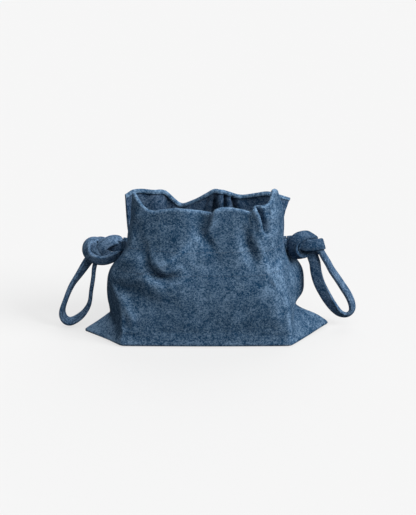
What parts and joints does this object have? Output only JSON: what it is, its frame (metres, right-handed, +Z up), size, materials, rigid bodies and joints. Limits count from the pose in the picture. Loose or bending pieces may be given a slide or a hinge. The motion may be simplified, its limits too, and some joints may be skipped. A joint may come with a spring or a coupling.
{
  "type": "knotted drawstring pouch",
  "caption": "Soft denim drawstring pouch with a flat eared base, a cased frilled mouth and fabric drawcords knotted into hanging loops at the sides.",
  "frame": {"origin": "middle of the base, on the surface that the pouch stands on", "axes": "+X to the right along the length between the base's ears, -Y to the front, +Z up"},
  "size_m": [0.3093, 0.1139, 0.1524],
  "materials": {
    "denim": "washed blue denim, matt and heathered",
    "facing_denim": "washed blue denim, a little darker inside",
    "cord_denim": "folded and sewn denim strap",
    "thread": "matt cotton thread in the denim's blue"
  },
  "bodies": {
    "bag": {"front_panel": "denim", "back_panel": "denim", "left_side_seam": "facing_denim", "right_side_seam": "facing_denim", "bottom_seam": "facing_denim", "front_upper_stitching": "thread", "front_lower_stitching": "thread", "back_upper_stitching": "thread", "back_lower_stitching": "thread", "left_cord_bight": "cord_denim", "right_cord_bight": "cord_denim"},
    "front_mouth": {"front_facing": "facing_denim", "left_cord_front_run": "cord_denim", "right_cord_front_run": "cord_denim"},
    "back_mouth": {"back_facing": "facing_denim", "left_cord_back_run": "cord_denim", "right_cord_back_run": "cord_denim"},
    "left_cord": {"left_front_lead": "cord_denim", "left_back_lead": "cord_denim", "left_knot": "cord_denim"},
    "right_cord": {"right_front_lead": "cord_denim", "right_back_lead": "cord_denim", "right_knot": "cord_denim"},
    "left_loop": {"left_loop": "cord_denim"},
    "right_loop": {"right_loop": "cord_denim"}
  },
  "joints": [
    {"name": "left_cord_pull", "type": "slide", "parent": "bag", "child": "left_cord", "axis": [-1, 0, 0], "range_m": [0, 0.02], "deforming": ["left_front_lead", "left_back_lead"]},
    {"name": "right_cord_pull", "type": "slide", "parent": "bag", "child": "right_cord", "axis": [1, 0, 0], "range_m": [0, 0.02], "deforming": ["right_front_lead", "right_back_lead"]},
    {"name": "front_mouth_close", "type": "slide", "parent": "bag", "child": "front_mouth", "axis": [0, 1, 0], "range_m": [0, 0.034], "deforming": ["front_facing", "left_cord_front_run", "right_cord_front_run"]},
    {"name": "back_mouth_close", "type": "slide", "parent": "bag", "child": "back_mouth", "axis": [0, -1, 0], "range_m": [0, 0.014], "deforming": ["back_facing", "left_cord_back_run", "right_cord_back_run"]},
    {"name": "left_loop_swing", "type": "hinge", "parent": "left_cord", "child": "left_loop", "pos_m": [-0.124, 0, 0.0645], "axis": [1, 0, 0], "range_deg": [-60, 60]},
    {"name": "right_loop_swing", "type": "hinge", "parent": "right_cord", "child": "right_loop", "pos_m": [0.12, 0, 0.072], "axis": [1, 0, 0], "range_deg": [-60, 60]}
  ],
  "couplings": [
    {"joint": "right_cord_pull", "follows": "left_cord_pull", "ratio": 1},
    {"joint": "front_mouth_close", "follows": "left_cord_pull", "ratio": 1.7},
    {"joint": "back_mouth_close", "follows": "left_cord_pull", "ratio": 0.7}
  ]
}
